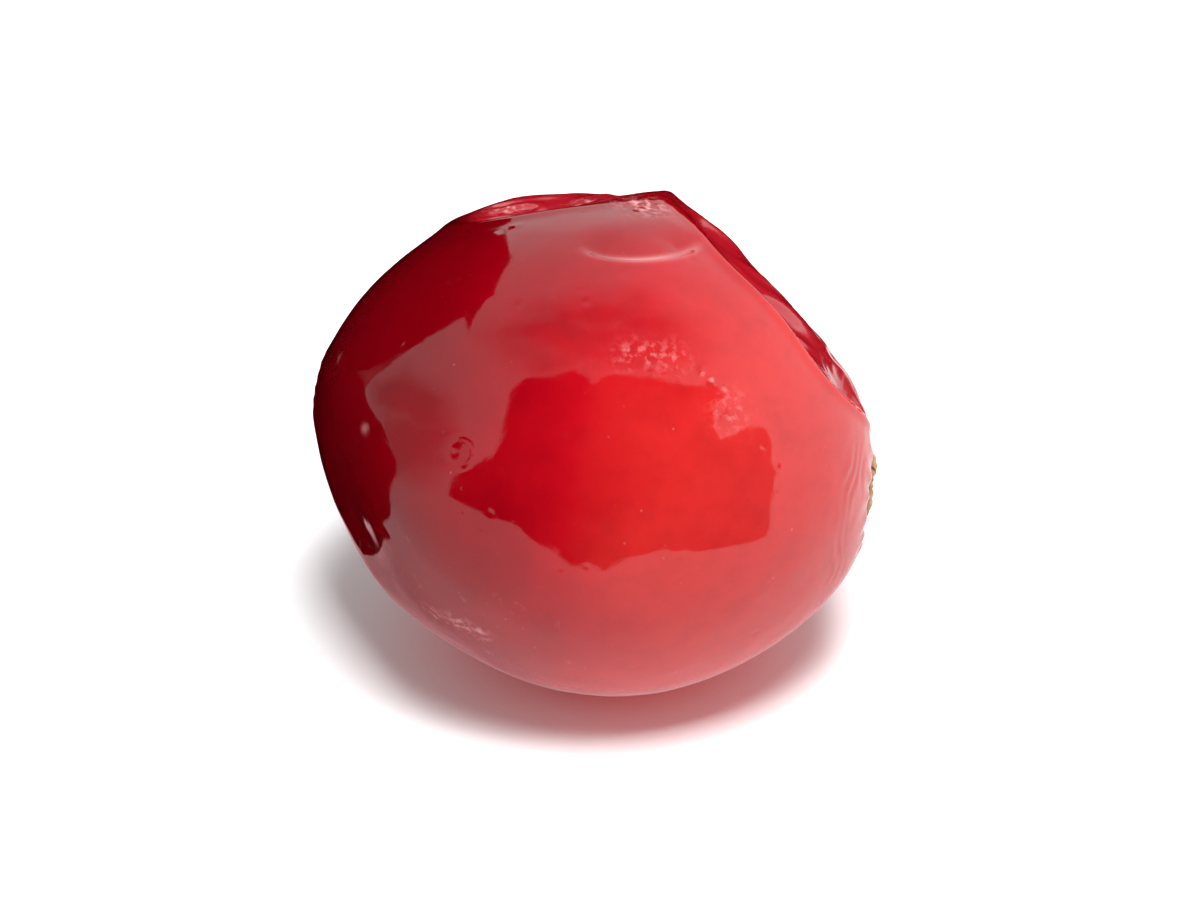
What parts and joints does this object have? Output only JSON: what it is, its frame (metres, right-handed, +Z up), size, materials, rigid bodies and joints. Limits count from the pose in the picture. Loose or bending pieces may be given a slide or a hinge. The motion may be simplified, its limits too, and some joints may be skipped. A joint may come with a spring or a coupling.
{
  "type": "cranberry",
  "caption": "Ripe red cranberry lying on its side, softened skin pressed in at the top, dry brown calyx at the blossom end.",
  "frame": {"origin": "on the ground, under the middle of the part's outline", "axes": "+X from the stem end towards the blossom end with its calyx, +Z up, +Y away from the side that the picture shows"},
  "size_m": [0.018, 0.016, 0.0154],
  "materials": {
    "skin": "glossy wet-looking skin, dark crimson at the stem end and bright red at the blossom end",
    "dry_calyx": "matt, dry, papery brown"
  },
  "bodies": {
    "root": {"berry": "skin", "calyx": "dry_calyx"}
  },
  "joints": []
}
